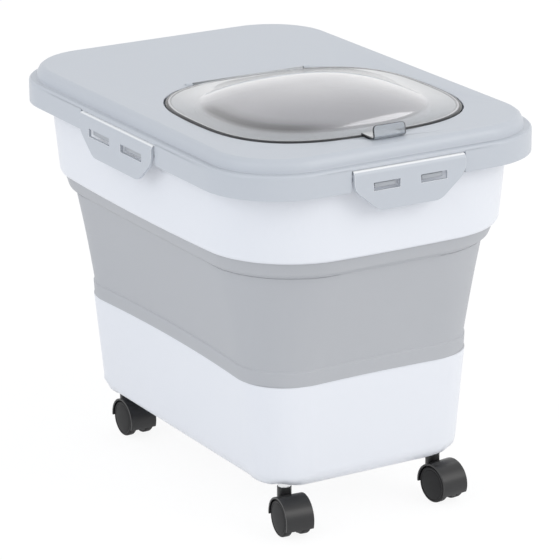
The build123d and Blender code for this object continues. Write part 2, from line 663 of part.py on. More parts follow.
def all_parts():
    """Every node by name."""
    parts = {
        "lower_tub": lower_tub(),
        "folding_wall": soft_wall(),
        "upper_ring": upper_ring(),
        "lid_panel": lid_panel(),
        "lid_seal": lid_seal(),
        "hatch_cover": hatch_cover(),
        "hatch_seal": hatch_seal(),
        "hatch_pin": hatch_pin(),
    }
    for side, (turn, face, sizes) in SIDES.items():
        parts["latch_" + side] = Rot(0, 0, turn) * latch(*sizes, face)
    for corner, (side_x, side_y) in CASTER_SIDES.items():
        place = Pos(side_x * CASTER_X, side_y * CASTER_Y, 0)
        swung = place * Rot(0, 0, SWIVEL_AT_REST[corner])
        parts["caster_sleeve_" + corner] = place * caster_sleeve()
        parts["caster_stem_" + corner] = swung * caster_stem()
        parts["caster_hood_" + corner] = swung * caster_hood()
        parts["caster_axle_" + corner] = swung * caster_axle()
        parts["caster_wheel_" + corner + "_a"] = swung * caster_wheel(-1)
        parts["caster_wheel_" + corner + "_b"] = swung * caster_wheel(1)
    return parts


os.makedirs("parts", exist_ok=True)
for name, shape in all_parts().items():
    export_step(shape, "parts/" + name + ".step")
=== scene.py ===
import bpy
import bmesh
import json
from bisect import bisect_right
from math import atan2, cos, hypot, pi, radians, sin
from mathutils import Matrix, Vector
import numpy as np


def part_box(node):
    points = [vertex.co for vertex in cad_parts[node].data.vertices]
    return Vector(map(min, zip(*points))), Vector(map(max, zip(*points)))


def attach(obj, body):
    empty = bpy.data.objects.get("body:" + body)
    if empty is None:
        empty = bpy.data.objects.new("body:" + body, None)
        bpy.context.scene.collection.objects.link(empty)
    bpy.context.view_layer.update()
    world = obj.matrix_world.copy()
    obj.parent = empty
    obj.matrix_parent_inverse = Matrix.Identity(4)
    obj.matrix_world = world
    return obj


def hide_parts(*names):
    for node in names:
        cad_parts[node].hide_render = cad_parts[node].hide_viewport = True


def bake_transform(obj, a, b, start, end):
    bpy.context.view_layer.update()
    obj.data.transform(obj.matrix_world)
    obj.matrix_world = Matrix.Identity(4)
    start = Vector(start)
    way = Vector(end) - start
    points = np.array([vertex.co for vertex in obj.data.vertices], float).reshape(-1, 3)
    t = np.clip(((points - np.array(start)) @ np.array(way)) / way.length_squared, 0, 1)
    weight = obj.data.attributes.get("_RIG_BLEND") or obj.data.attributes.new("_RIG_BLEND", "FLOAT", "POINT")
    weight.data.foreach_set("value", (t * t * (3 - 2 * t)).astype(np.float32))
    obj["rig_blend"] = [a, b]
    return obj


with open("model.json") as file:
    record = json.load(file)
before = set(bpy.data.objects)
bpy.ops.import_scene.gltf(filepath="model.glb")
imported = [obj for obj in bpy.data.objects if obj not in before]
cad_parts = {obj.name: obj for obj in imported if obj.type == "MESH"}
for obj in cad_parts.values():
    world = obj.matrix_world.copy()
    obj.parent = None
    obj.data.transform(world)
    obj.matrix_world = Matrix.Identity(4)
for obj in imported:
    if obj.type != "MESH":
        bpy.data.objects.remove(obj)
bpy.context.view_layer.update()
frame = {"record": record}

# A millimetre in metres, the scene's unit
MM = 0.001

# Camera: the view of the photograph, in metres, degrees and millimetres of lens
VIEW_TURN = -30.434
VIEW_RISE = 18.15
VIEW_ROLL = -0.392
VIEW_DISTANCE = 2.6675
VIEW_HEIGHT = 0.1562
VIEW_LENS = 212.8
VIEW_SENSOR = 36
VIEW_SHIFT_X = 0.01
VIEW_SHIFT_Y = -0.0013
VIEW_END = 100

# Level rings of a wall: points along half a side and round a corner, least bow of a side,
# and how many steps ease a level and what share of a neighbouring slope they may take
SIDE_STEPS = 10
CORNER_STEPS = 14
LEAST_BOW = 1e-6
EASE_STEPS = 5
EASE_SHARE = 0.48

# Soft wall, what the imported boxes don't give: wall, extra length of a side along Y, half width at
# the seam, corner radii from the seam up, and how far the sides bow out
SOFT_WALL = 2.2 * MM
SIDE_EXTRA = 59.0 * MM
SEAM_HALF = 95.0 * MM
SEAM_CORNER = 42.0 * MM
FOLD_CORNER = 42.8 * MM
MID_CORNER = 48.5 * MM
STEP_CORNER = 69.0 * MM
BROW_CORNER = 72.5 * MM
COLLAR_CORNER = 72.5 * MM
WAIST_BOW = -8.5 * MM
COLLAR_BOW = 7.0 * MM
BROW_BOW = 0.3 * COLLAR_BOW

# Soft wall: heights of its lip, panel and step, how far they lean out, and its hollows and ledges
SOFT_LIP = 11.5 * MM
SOFT_PANEL = 81.8 * MM
SOFT_STEP = 13.9 * MM
MID_SHARE = 0.45
LIP_BATTER = 0.8 * MM
PANEL_BATTER = 20.4 * MM
PANEL_HOLLOW = 2.7 * MM
STEP_HOLLOW = 1.4 * MM
STEP_DROP = 0.7 * MM
LEDGE = 1.1 * MM
BROW_OUT = 4.4 * MM
BROW_RISE = 3.0 * MM
RUN_IN = 0.6 * MM
RUN_BELOW = 0.4 * MM
COLLAR_FOOT = 2.5 * MM
LINING_RUN = 1.0 * MM
LINING_FOOT = 5.0 * MM

# Soft wall: how widely its levels are eased
CRISP_EASE = 0.5 * MM
STEP_EASE = 0.6 * MM
SOFT_EASE = 1.0 * MM
BROW_EASE = 1.6 * MM
PANEL_EASE = 30.0 * MM

# Tub wall at its rim and above its foot round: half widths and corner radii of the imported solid,
# and the fuller corners of the photograph
TUB_HALF = 94.2 * MM
TUB_CORNER = 41.2 * MM
TUB_CORNER_SHOWN = 38.2 * MM
FOOT_HALF = 90.5 * MM
FOOT_CORNER = 42.0 * MM
FOOT_CORNER_SHOWN = 28.0 * MM
FOOT_ROUND = 14.0 * MM

# Where the fuller corners set in, beside a caster's hole and above it, and where they end inside
# the wall's face
BESIDE_HOLE = (6.0 * MM, 12.0 * MM)
ABOVE_HOLE = (4.0 * MM, 10.0 * MM)
INSIDE_WALL = (4.0 * MM, 12.0 * MM)

# Lid's profile as packed, how much squarer its shoulder and wider its crown rounding shows, and how
# near a packed point has to lie to count as on its profile or on its shoulder's arc
LID_CORNER = 62.0 * MM
LID_FACE = 14.2 * MM
LID_SHOULDER = 4.8 * MM
SHOULDER_SHARE = 0.5
CROWN_FOOT = 6.4 * MM
CROWN_ROUND = 5.5 * MM
CROWN_SPREAD = 1.15
ON_PROFILE = 0.01 * MM
ON_ARC = 0.1 * MM

# Lid's thumb notch: its middle and half width as packed, how far it moves, how far aside the move
# fades out, the stretch of the hatch's edge that it concerns, and the lip that follows the edge
NOTCH_X = 9.5 * MM
NOTCH_HALF = 17.0 * MM
NOTCH_SHIFT = -12.4 * MM
NOTCH_EASE = 50.0 * MM
NOTCH_REACH = 0.85
NOTCH_BEFORE = 15.0 * MM
NOTCH_BEHIND = 12.0 * MM
NOTCH_BELOW = 12.0 * MM
NOTCH_LIP = 2.0 * MM

# Clear hatch: outline, plate, flange, rounded edge and wall
HATCH_POWER = 2.9
HATCH_PLATE = 2.2 * MM
HATCH_FLANGE = 2.0 * MM
HATCH_EDGE = 1.9 * MM
HATCH_EDGE_STEPS = 4
COVER_WALL = 1.8 * MM
OVAL_STEPS = 144

# Rim of the hatch from inside to its edge: inset and rise in mm, tint of the dome, which paints a highlight
# line on the bead, and how dark its painted edge shade is
RIM_PROFILE = [
    (4.9, 0.0, 0, 0),
    (4.4, -0.12, 0, 0.45),
    (3.9, -0.12, 0, 0.45),
    # The raised bead takes the dome's paler tint, a painted highlight line along the rim
    (3.5, 0.1, 1, 0),
    (2.5, 0.1, 1, 0),
    (2.2, 0.0, 0, 0.8),
]

# Dome of the hatch: outline, height, fullness, and the shares of its reach that its rings have
DOME_POWER = 2.45
DOME_HALF_X = 87.2 * MM
DOME_HALF_Y = 81.5 * MM
DOME_HEIGHT = 14.5 * MM
DOME_FULLNESS = 2.6
DOME_SHARES = [0.03, 0.15, 0.3, 0.45, 0.58, 0.7, 0.8, 0.87, 0.92, 0.96, 1.0]

# Painted shade at the dome's foot, a dark crescent: way to its front left, and where along, across and up
# that way it shows
FRONT_LEFT_X = -0.48
FRONT_LEFT_Y = -0.88
CRESCENT_ALONG = (0, 0.35)
CRESCENT_ACROSS = (-0.25, 0.35)
CRESCENT_RISE = (0.83, 0.94)
CRESCENT_FALL = (0.97, 1.02)

# Hinge barrel of the hatch, and where the hatch's edge runs into it and its painted edge shade fades out
HATCH_BARREL = 2.2 * MM
HATCH_BARREL_LENGTH = 102.0 * MM
BARREL_ROUND = 0.4 * MM
BARREL_STEPS = 32
PIN_BORE = 1.25 * MM
HINGE_ASIDE = 6.0 * MM
HINGE_BACK = (0.7, 0.85)

# Thumb tab: place, reach, bend, lean and height, wall, rounded top, and one face of its section as
# shares of half its width and half its wall
TAB_X = -2.9 * MM
TAB_HALF = 14.3 * MM
TAB_REACH = 10.0 * MM
TAB_INSIDE = 3.0 * MM
TAB_OUT = 14.5 * MM
TAB_SINK = 0.5 * MM
TAB_BEND = 2.0 * MM
TAB_BEND_STEPS = 3
TAB_LEAN = 1.6 * MM
TAB_UP = 10.2 * MM
TAB_WALL = 1.5 * MM
TAB_ROUND = 3.2 * MM
TAB_ROUND_TURN = 84
TAB_ROUND_STEPS = 6
TAB_FACE = [(-1, 0.4), (-0.96, 1), (-0.94, 1), (0.94, 1), (0.96, 1), (1, 0.4)]
# Where the tab's sides and top end get painted shade along their edges
TAB_SHADE_SIDE = 0.95
TAB_SHADE_RINGS = 2

# Latches: rounding of their edges, and how far down and on which faces their top gets a painted highlight
LATCH_SIDES = ("front", "right", "back", "left")
LATCH_EDGE = 0.6 * MM
HIGHLIGHT_DEPTH = 2.2 * MM
HIGHLIGHT_FACING = (0.62, 0.82)

# Caster hoods: rounding of their edges, which also get painted shade
HOOD_EDGE = 0.3 * MM

# Caster wheels: tread, edge and covers, how far a wheel's middle stands from the fork's, how far
# its web goes into the tread, and how finely it is divided
WHEEL_WIDTH = 6.6 * MM
WHEEL_TREAD = 3.0 * MM
WHEEL_EDGE = 1.9 * MM
WHEEL_BULGE = 0.9 * MM
WHEEL_OFFSET = 7.9 * MM
WEB_SHARE = 0.25
WHEEL_STEPS = 72
WHEEL_EDGE_STEPS = 5
WHEEL_COVER_RINGS = 16

# Merged copies of CAD nodes: weld, angles in degrees that count as flat, as a real edge and as a
# shading crease, steps of a rounding, and how far down a face may look and still get painted light
WELD = 0.002 * MM
FLAT_ANGLE = 0.3
EDGE_ANGLE = 50
CREASE_ANGLE = 40
EDGE_STEPS = 2
DOWNWARD = -0.2

# Moulded texture: fineness and detail of grain and cloud, and depth of the grain
FINE_GRAIN = 900.0
SOFT_GRAIN = 700.0
METAL_GRAIN = 1500.0
GRAIN_DETAIL = 2.0
GRAIN_DEPTH = 0.2 * MM
CLOUD_SCALE = 9.0
CLOUD_DETAIL = 3.0

# Clear plastic: how much light goes through, bending, coat, colours of dome and of painted edge shade,
# and how dark the painted shade at the dome's foot is
HATCH_CLEARNESS = 0.75
HATCH_BENDING = 1.46
HATCH_COAT = 1.0
HATCH_COAT_ROUGHNESS = 0.06
DOME_TINT = (0.815, 0.81, 0.855)
EDGE_SHADE_TINT = (0.03, 0.032, 0.037)
CRESCENT_SHADE = 0.65

# Painted light on marked faces: highlight on latch edges, shade on lugs in the slots and on hood edges
EDGE_HIGHLIGHT = (0.97, 0.975, 0.98)
LUG_SHADE = (0.47, 0.49, 0.52)
HOOD_EDGE_SHADE = (0.003, 0.003, 0.003)

# Studio: light of the world, floor, how white the floor shows, and what the lamps aim at
WORLD_LIGHT = 0.78
WORLD_TINT = (0.955, 0.975, 1.0)
FLOOR_SIZE = 30
FLOOR_WHITE = 0.93
FLOOR_ROUGHNESS = 0.9
FLOOR_GLOW = 0.90
FLOOR_SHADE = 0.13
BIN_MIDDLE = (0, 0, 0.15)
HATCH_FRONT = (0.02, -0.14, 0.32)


def node_object(node):
    """Object of a CAD node, which carries the node's name."""
    return bpy.data.objects[node]


def piece(name, mesh, material):
    """Object of a finished mesh with one material."""
    made = bpy.data.objects.new(name, mesh)
    bpy.context.collection.objects.link(made)
    mesh.materials.append(material)
    return made


def side_arc(middle, tip, bow):
    """Centre and signed radius of the arc of a side, from its middle out to the virtual corner."""
    bow = bow if abs(bow) > LEAST_BOW else LEAST_BOW
    radius = (tip ** 2 + bow ** 2) / (2 * bow)
    return middle - radius, radius


def wall_ring(half, corner, z, bow):
    """Points of a level rounded rectangle, longer along Y, whose sides swell or sink by a bow."""
    reach = half + SIDE_EXTRA
    end_bow = bow * half / reach
    centre_x, radius_x = side_arc(half, reach - end_bow, bow)
    centre_y, radius_y = side_arc(reach, half - bow, end_bow)
    first, second = Vector((centre_x, 0)), Vector((0, centre_y))
    facing_x, facing_y = (1 if radius > 0 else -1 for radius in (radius_x, radius_y))
    from_first, from_second = abs(radius_x - corner), abs(radius_y - corner)
    way = second - first
    gap = way.length
    along = (from_first ** 2 - from_second ** 2 + gap ** 2) / (2 * gap)
    across = max(from_first ** 2 - along ** 2, 0) ** 0.5
    way /= gap
    aside = Vector((-way.y, way.x))
    wanted = Vector((half - corner, reach - corner))
    meetings = [first + way * along + aside * side * across for side in (1, -1)]
    middle = min(meetings, key=lambda meeting: (meeting - wanted).length)
    start = (middle - first).normalized() * facing_x
    end = (middle - second).normalized() * facing_y
    start_angle, end_angle = atan2(start.y, start.x), atan2(end.y, end.x)
    quarter = []
    for step in range(SIDE_STEPS):
        y = (middle.y + corner * start.y) * step / SIDE_STEPS
        x = centre_x + facing_x * (radius_x ** 2 - y ** 2) ** 0.5
        quarter.append((x, y))
    for step in range(CORNER_STEPS + 1):
        angle = start_angle + (end_angle - start_angle) * step / CORNER_STEPS
        quarter.append((middle.x + corner * cos(angle), middle.y + corner * sin(angle)))
    for step in range(1, SIDE_STEPS):
        x = (middle.x + corner * end.x) * (1 - step / SIDE_STEPS)
        y = centre_y + facing_y * (radius_y ** 2 - x ** 2) ** 0.5
        quarter.append((x, y))
    half_round = quarter + [(0, reach)] + [(-x, y) for x, y in quarter[:0:-1]]
    points = half_round + [(-x, -y) for x, y in half_round]
    return [Vector((x, y, z)) for x, y in points]


def tub_level(z, base, seam, rim_corner, foot_corner):
    """Half width, corner radius, height and bow of the tub's outer wall at a height."""
    foot = base + FOOT_ROUND
    flat_corner = FOOT_CORNER - FOOT_ROUND
    if z < foot:
        inward = FOOT_ROUND - max(FOOT_ROUND ** 2 - (foot - z) ** 2, 0) ** 0.5
        corner = foot_corner + (flat_corner - foot_corner) * inward / FOOT_ROUND
        return FOOT_HALF - inward, corner, z, 0
    share = min((z - foot) / (seam - foot), 1)
    half = FOOT_HALF + (TUB_HALF - FOOT_HALF) * share
    return half, foot_corner + (rim_corner - foot_corner) * share, z, WAIST_BOW * share


def reach_at(ring, angle):
    """Distance from the upright axis to a level ring at an angle of its first quarter."""
    quarter = ring[:2 * SIDE_STEPS + CORNER_STEPS + 1]
    angles = [atan2(point.y, point.x) for point in quarter]
    index = min(max(bisect_right(angles, angle), 1), len(quarter) - 1)
    first, second = quarter[index - 1], quarter[index]
    along = second - first
    return (first.x * along.y - first.y * along.x) / (cos(angle) * along.y - sin(angle) * along.x)


def ramp(value, start, end):
    """Smooth rise from 0 at the start to 1 at the end."""
    share = min(max((value - start) / (end - start), 0), 1)
    return share * share * (3 - 2 * share)


def fuller_tub_corners(shape):
    """Tub's corners moved out to the photograph's, except round the holes of the casters."""
    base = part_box("lower_tub")[0][2]
    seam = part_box("folding_wall")[0][2]
    low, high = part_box("caster_sleeve_front_right")
    hole_x, hole_y = (low[0] + high[0]) / 2, -(low[1] + high[1]) / 2
    corner_ends = (SIDE_STEPS, SIDE_STEPS + CORNER_STEPS)
    for vertex in shape.verts:
        x, y, z = vertex.co
        distance = hypot(x, y)
        angle = atan2(abs(y), abs(x))
        packed = wall_ring(*tub_level(z, base, seam, TUB_CORNER, FOOT_CORNER))
        ends = [atan2(packed[index].y, packed[index].x) for index in corner_ends]
        if not ends[0] < angle < ends[1]:
            continue
        shown = wall_ring(*tub_level(z, base, seam, TUB_CORNER_SHOWN, FOOT_CORNER_SHOWN))
        wall = reach_at(packed, angle)
        beside_hole = ramp(hypot(abs(x) - hole_x, abs(y) - hole_y), *BESIDE_HOLE)
        above_hole = ramp(z - base, *ABOVE_HOLE)
        weight = (1 - ramp(wall - distance, *INSIDE_WALL)) * max(beside_hole, above_hole)
        stretch = 1 + weight * (reach_at(shown, angle) - wall) / distance
        vertex.co = (x * stretch, y * stretch, z)


def top_highlight_marked(shape):
    """Rounded top edge of a latch marked for a painted highlight, fuller where it faces up."""
    marks = shape.faces.layers.float.new("marked")
    top = max(vertex.co.z for vertex in shape.verts)
    for face in shape.faces:
        if face.calc_center_median().z > top - HIGHLIGHT_DEPTH:
            face[marks] = ramp(face.normal.z, *HIGHLIGHT_FACING)


def lugs_shade_marked(shape):
    """Lugs of the ring marked for painted shade, where they lie in the shade of the latches' slots."""
    boxes = [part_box("latch_" + side) for side in LATCH_SIDES]
    marks = shape.faces.layers.float.new("marked")
    for face in shape.faces:
        places = [(axis, vertex.co[axis]) for vertex in face.verts for axis in range(3)]
        for low, high in boxes:
            if all(low[axis] - MM < place < high[axis] + MM for axis, place in places):
                face[marks] = 1


def notch_moved(shape):
    """Thumb notch of the lid moved along the hatch's edge to the place of the photograph."""
    low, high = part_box("hatch_cover")
    half_x = (high[0] - low[0]) / 2
    front = low[1] + TAB_REACH
    half_y = (high[1] - HATCH_BARREL - front) / 2
    for vertex in shape.verts:
        x, y, z = vertex.co
        near = abs(x) < NOTCH_REACH * half_x and front - NOTCH_BEFORE < y < front + NOTCH_BEHIND
        if not near or z < low[2] - NOTCH_BELOW:
            continue
        aside = abs(x - NOTCH_X) - NOTCH_HALF
        shift = NOTCH_SHIFT * (1 - min(max(aside / NOTCH_EASE, 0), 1))
        vertex.co.x = x + shift
        if y > front - NOTCH_LIP:
            shares = [abs(at / half_x) for at in (x, x + shift)]
            before, after = [(1 - share ** HATCH_POWER) ** (1 / HATCH_POWER) for share in shares]
            vertex.co.y = y - half_y * (after - before)


def lid_softened(shape):
    """Lid with a squarer shoulder and a wider crown rounding, and the thumb notch at its place."""
    low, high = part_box("lid_panel")
    half_x, half_y = (high[0] - low[0]) / 2, (high[1] - low[1]) / 2
    foot_z = low[2] + LID_FACE
    shoulder_z = foot_z + LID_SHOULDER
    for vertex in shape.verts:
        x, y, z = vertex.co
        over_x, over_y = abs(x) - half_x + LID_CORNER, abs(y) - half_y + LID_CORNER
        if over_x > 0 and over_y > 0:
            reach = hypot(over_x, over_y)
            out = Vector((over_x / reach, over_y / reach))
        else:
            reach = max(over_x, over_y)
            out = Vector((1, 0)) if over_x > over_y else Vector((0, 1))
        inset = LID_CORNER - reach
        from_arc = abs(hypot(LID_SHOULDER - inset, z - foot_z) - LID_SHOULDER)
        on_shoulder = inset < LID_SHOULDER + ON_PROFILE and z > foot_z - ON_PROFILE
        if on_shoulder and from_arc < ON_ARC:
            moved = inset * SHOULDER_SHARE
            vertex.co.z = shoulder_z - (shoulder_z - z) * SHOULDER_SHARE
        elif CROWN_FOOT < inset < CROWN_FOOT + CROWN_ROUND + ON_PROFILE and z > shoulder_z:
            moved = CROWN_FOOT + (inset - CROWN_FOOT) * CROWN_SPREAD
        else:
            continue
        out *= inset - moved
        vertex.co.x = x + (out.x if x > 0 else -out.x)
        vertex.co.y = y + (out.y if y > 0 else -out.y)
    notch_moved(shape)


def eased(profile):
    """Levels of half width, corner, height and bow, each rounded by the ease that ends it."""
    levels = [Vector(level[:4]) for level in profile]
    rounded = [levels[0]]
    for index in range(1, len(levels) - 1):
        before, here, after = levels[index - 1], levels[index], levels[index + 1]
        reach = profile[index][4]
        low = Vector((here[0] - before[0], here[2] - before[2])).length
        high = Vector((after[0] - here[0], after[2] - here[2])).length
        start = here + (before - here) * min(reach / low, EASE_SHARE)
        end = here + (after - here) * min(reach / high, EASE_SHARE)
        for step in range(EASE_STEPS + 1):
            t = step / EASE_STEPS
            rounded.append(start * (1 - t) ** 2 + here * 2 * t * (1 - t) + end * t ** 2)
    rounded.append(levels[-1])
    return rounded


def skin(rings, loop=False, cap_first=False, cap_last=False):
    """Mesh of four-sided faces between rings of equal count, with its normals outwards."""
    made = bmesh.new()
    rows = [[made.verts.new(point) for point in ring] for ring in rings]
    pairs = list(zip(rows, rows[1:]))
    if loop:
        pairs.append((rows[-1], rows[0]))
    for lower, upper in pairs:
        count = len(lower)
        for index in range(count):
            following = (index + 1) % count
            made.faces.new((lower[index], lower[following], upper[following], upper[index]))
    if cap_first:
        made.faces.new(rows[0][::-1])
    if cap_last:
        made.faces.new(rows[-1])
    bmesh.ops.recalc_face_normals(made, faces=made.faces)
    mesh = bpy.data.meshes.new("skin")
    made.to_mesh(mesh)
    made.free()
    mesh.shade_smooth()
    mesh.set_sharp_from_angle(angle=radians(EDGE_ANGLE))
    return mesh


def oval(half_x, half_y, power, centre_y, z):
    """Level ring squarer than an ellipse, at even angles round its middle."""
    points = []
    for step in range(OVAL_STEPS):
        angle = 2 * pi * step / OVAL_STEPS
        across, along = cos(angle), sin(angle)
        reach = (abs(across / half_x) ** power + abs(along / half_y) ** power) ** (-1 / power)
        points.append(Vector((reach * across, centre_y + reach * along, z)))
    return points


def marked(mesh, rings, **marks):
    """Mesh of a skin with values for its material, one for a ring or for each of its points."""
    for name, values in marks.items():
        spread = []
        for ring, value in zip(rings, values):
            spread += value if isinstance(value, list) else [value] * len(ring)
        layer = mesh.attributes.new(name, "FLOAT", "POINT")
        layer.data.foreach_set("value", spread)
    return mesh


def group(name, inputs, outputs):
    """Empty shader node group with named float and colour sockets."""
    tree = bpy.data.node_groups.new(name, "ShaderNodeTree")
    for label, kind, value in inputs:
        socket = tree.interface.new_socket(label, in_out="INPUT", socket_type=kind)
        if value is not None:
            socket.default_value = value
    for label, kind in outputs:
        tree.interface.new_socket(label, in_out="OUTPUT", socket_type=kind)
    return tree


def moulding_grain():
    """Fine moulded texture: a height for bump and a slow mask for colour and gloss."""
    tree = group(
        "moulding grain",
        [
            ("Grain Scale", "NodeSocketFloat", FINE_GRAIN),
            ("Cloud Scale", "NodeSocketFloat", CLOUD_SCALE),
        ],
        [("Height", "NodeSocketFloat"), ("Cloud", "NodeSocketFloat")],
    )
    nodes, links = tree.nodes, tree.links
    start = nodes.new("NodeGroupInput")
    end = nodes.new("NodeGroupOutput")
    place = nodes.new("ShaderNodeTexCoord")
    grain = nodes.new("ShaderNodeTexNoise")
    grain.inputs["Detail"].default_value = GRAIN_DETAIL
    cloud = nodes.new("ShaderNodeTexNoise")
    cloud.inputs["Detail"].default_value = CLOUD_DETAIL
    links.new(place.outputs["Object"], grain.inputs["Vector"])
    links.new(place.outputs["Object"], cloud.inputs["Vector"])
    links.new(start.outputs["Grain Scale"], grain.inputs["Scale"])
    links.new(start.outputs["Cloud Scale"], cloud.inputs["Scale"])
    links.new(grain.outputs["Fac"], end.inputs["Height"])
    links.new(cloud.outputs["Fac"], end.inputs["Cloud"])
    return tree


GRAIN = moulding_grain()


def moulded(name, light, dark, roughness, spread=0.05, bump=0.02, grain=FINE_GRAIN):
    """Moulded plastic or rubber: two close colours in slow clouds, uneven gloss, fine grain."""
    material = bpy.data.materials.new(name)
    material.use_nodes = True
    nodes, links = material.node_tree.nodes, material.node_tree.links
    shader = nodes["Principled BSDF"]
    texture = nodes.new("ShaderNodeGroup")
    texture.node_tree = GRAIN
    texture.inputs["Grain Scale"].default_value = grain
    texture.inputs["Cloud Scale"].default_value = CLOUD_SCALE
    colour = nodes.new("ShaderNodeMix")
    colour.data_type = "RGBA"
    colour.inputs["A"].default_value = (*dark, 1)
    colour.inputs["B"].default_value = (*light, 1)
    links.new(texture.outputs["Cloud"], colour.inputs["Factor"])
    links.new(colour.outputs["Result"], shader.inputs["Base Color"])
    gloss = nodes.new("ShaderNodeMapRange")
    gloss.inputs["To Min"].default_value = roughness - spread
    gloss.inputs["To Max"].default_value = roughness + spread
    links.new(texture.outputs["Cloud"], gloss.inputs["Value"])
    links.new(gloss.outputs["Result"], shader.inputs["Roughness"])
    relief = nodes.new("ShaderNodeBump")
    relief.inputs["Strength"].default_value = bump
    relief.inputs["Distance"].default_value = GRAIN_DEPTH
    links.new(texture.outputs["Height"], relief.inputs["Height"])
    links.new(relief.outputs["Normal"], shader.inputs["Normal"])
    return material


def with_painted_light(material, colour):
    """Marked faces take a second colour of the same plastic, for painted highlights and shade."""
    nodes, links = material.node_tree.nodes, material.node_tree.links
    shader = nodes["Principled BSDF"]
    mark = nodes.new("ShaderNodeAttribute")
    mark.attribute_name = "marked"
    mix = nodes.new("ShaderNodeMix")
    mix.data_type = "RGBA"
    mix.inputs["B"].default_value = (*colour, 1)
    links.new(mark.outputs["Fac"], mix.inputs["Factor"])
    links.new(shader.inputs["Base Color"].links[0].from_socket, mix.inputs["A"])
    links.new(mix.outputs["Result"], shader.inputs["Base Color"])


def clear_shade():
    """Clear plastic's colour and gloss: pale flat, tinted dome, painted shade on foot and dull edges."""
    tree = group(
        "clear shade",
        [
            ("Flat", "NodeSocketColor", None),
            ("Dome", "NodeSocketColor", None),
            ("Edge Shade", "NodeSocketColor", None),
            ("Foot Shade", "NodeSocketFloat", CRESCENT_SHADE),
        ],
        [("Color", "NodeSocketColor"), ("Gloss", "NodeSocketFloat")],
    )
    nodes, links = tree.nodes, tree.links
    start = nodes.new("NodeGroupInput")
    end = nodes.new("NodeGroupOutput")

    def stored(name):
        value = nodes.new("ShaderNodeAttribute")
        value.attribute_name = name
        return value.outputs["Fac"]

    def blended(factor, first, second):
        mix = nodes.new("ShaderNodeMix")
        mix.data_type = "RGBA"
        links.new(factor, mix.inputs["Factor"])
        links.new(first, mix.inputs["A"])
        links.new(second, mix.inputs["B"])
        return mix.outputs["Result"]

    # Painted shade at the dome's foot, scaled by its depth
    foot = nodes.new("ShaderNodeMath")
    foot.operation = "MULTIPLY"
    links.new(stored("foot"), foot.inputs[0])
    links.new(start.outputs["Foot Shade"], foot.inputs[1])
    colour = blended(stored("domed"), start.outputs["Flat"], start.outputs["Dome"])
    colour = blended(foot.outputs[0], colour, start.outputs["Edge Shade"])
    colour = blended(stored("cut"), colour, start.outputs["Edge Shade"])
    links.new(colour, end.inputs["Color"])
    gloss = nodes.new("ShaderNodeMath")
    gloss.operation = "SUBTRACT"
    gloss.inputs[0].default_value = 1.0
    links.new(stored("cut"), gloss.inputs[1])
    links.new(gloss.outputs[0], end.inputs["Gloss"])
    return tree


def clear_plastic():
    """Slightly milky clear plastic of the hatch, with painted shade along its edges."""
    material = moulded(
        "clear plastic",
        light=(0.67, 0.71, 0.755),
        dark=(0.64, 0.68, 0.73),
        roughness=0.07,
        spread=0.02,
        bump=0.01,
    )
    nodes, links = material.node_tree.nodes, material.node_tree.links
    shader = nodes["Principled BSDF"]
    shader.inputs["Transmission Weight"].default_value = HATCH_CLEARNESS
    shader.inputs["IOR"].default_value = HATCH_BENDING
    shader.inputs["Coat Weight"].default_value = HATCH_COAT
    shader.inputs["Coat Roughness"].default_value = HATCH_COAT_ROUGHNESS
    shade = nodes.new("ShaderNodeGroup")
    shade.node_tree = clear_shade()
    shade.inputs["Dome"].default_value = (*DOME_TINT, 1)
    shade.inputs["Edge Shade"].default_value = (*EDGE_SHADE_TINT, 1)
    shade.inputs["Foot Shade"].default_value = CRESCENT_SHADE
    links.new(shader.inputs["Base Color"].links[0].from_socket, shade.inputs["Flat"])
    links.new(shade.outputs["Color"], shader.inputs["Base Color"])
    links.new(shade.outputs["Gloss"], shader.inputs["Coat Weight"])
    return material


def rubber(name, light, dark, roughness, sheen):
    """Dull black rubber or plastic with less reflection than the hood."""
    material = moulded(name, light, dark, roughness, spread=0.04, bump=0.04)
    material.node_tree.nodes["Principled BSDF"].inputs["Specular IOR Level"].default_value = sheen
    return material


def metal(name, light, dark, roughness):
    """Bare or plated steel."""
    material = moulded(name, light, dark, roughness, spread=0.03, bump=0.01, grain=METAL_GRAIN)
    shader = material.node_tree.nodes["Principled BSDF"]
    shader.inputs["Metallic"].default_value = 1.0
    return material


WHITE = moulded(
    "white plastic",
    light=(0.86, 0.875, 0.92),
    dark=(0.83, 0.85, 0.90),
    roughness=0.34,
    spread=0.04,
    bump=0.02,
)
LID_GREY = moulded(
    "lid grey plastic",
    light=(0.575, 0.605, 0.65),
    dark=(0.55, 0.58, 0.63),
    roughness=0.38,
    spread=0.05,
    bump=0.03,
)
SOFT_GREY = moulded(
    "soft grey wall",
    light=(0.50, 0.51, 0.535),
    dark=(0.475, 0.485, 0.51),
    roughness=0.52,
    spread=0.06,
    bump=0.06,
    grain=SOFT_GRAIN,
)
CLEAR = clear_plastic()
SEAL = moulded("pale seal rubber", light=(0.80, 0.82, 0.84), dark=(0.76, 0.78, 0.80), roughness=0.5)
BLACK = moulded(
    "black plastic",
    light=(0.022, 0.022, 0.023),
    dark=(0.015, 0.015, 0.016),
    roughness=0.33,
    spread=0.05,
    bump=0.04,
)
WHEEL_BLACK = rubber(
    "wheel black",
    light=(0.014, 0.014, 0.015),
    dark=(0.009, 0.009, 0.010),
    roughness=0.5,
    sheen=0.24,
)
CHROME = metal("plated steel", light=(0.80, 0.81, 0.82), dark=(0.74, 0.75, 0.76), roughness=0.12)
STEEL = metal("plain steel", light=(0.60, 0.61, 0.62), dark=(0.52, 0.53, 0.54), roughness=0.3)

# Marked faces get painted light: shade on the ring's lugs, highlight on the latches, shade on the hoods
for finish, painted_colour in ((WHITE, LUG_SHADE), (LID_GREY, EDGE_HIGHLIGHT), (BLACK, HOOD_EDGE_SHADE)):
    with_painted_light(finish, painted_colour)

